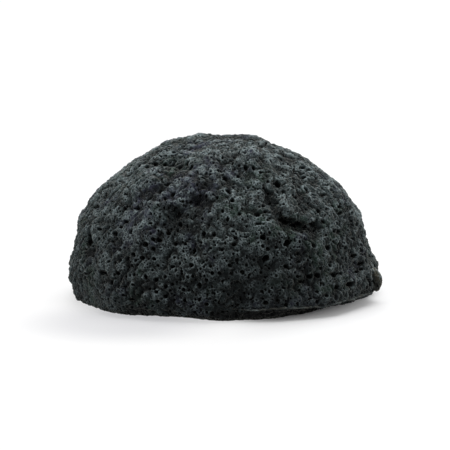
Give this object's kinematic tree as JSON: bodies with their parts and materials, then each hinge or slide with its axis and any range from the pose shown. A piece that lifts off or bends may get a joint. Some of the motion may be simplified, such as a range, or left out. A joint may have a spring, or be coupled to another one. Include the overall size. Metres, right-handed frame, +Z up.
{
  "type": "konjac sponge",
  "caption": "Half-round facial cleansing sponge of dark grey porous foam, domed on top with a flat face to rest on.",
  "frame": {"origin": "centre of the flat face that the sponge rests on, under the top of the dome", "axes": "+Z up out of the flat face through the dome, -Y towards the pictured front, +X to the right in the picture, which is the longest side"},
  "size_m": [0.0783, 0.074, 0.0411],
  "materials": {
    "skin_foam": "matt, open-celled skin, charcoal grey with a blue-green cast",
    "core_foam": "matt, open cells, darker than the skin",
    "base_foam": "matt, finer cells, pressed flat",
    "edge_foam": "matt, thin and slightly paler and warmer where it is torn"
  },
  "bodies": {
    "root": {"foam_core": "core_foam", "dome_skin": "skin_foam", "base_layer": "base_foam", "rim_flash": "edge_foam", "rim_nub": "edge_foam"}
  },
  "joints": []
}
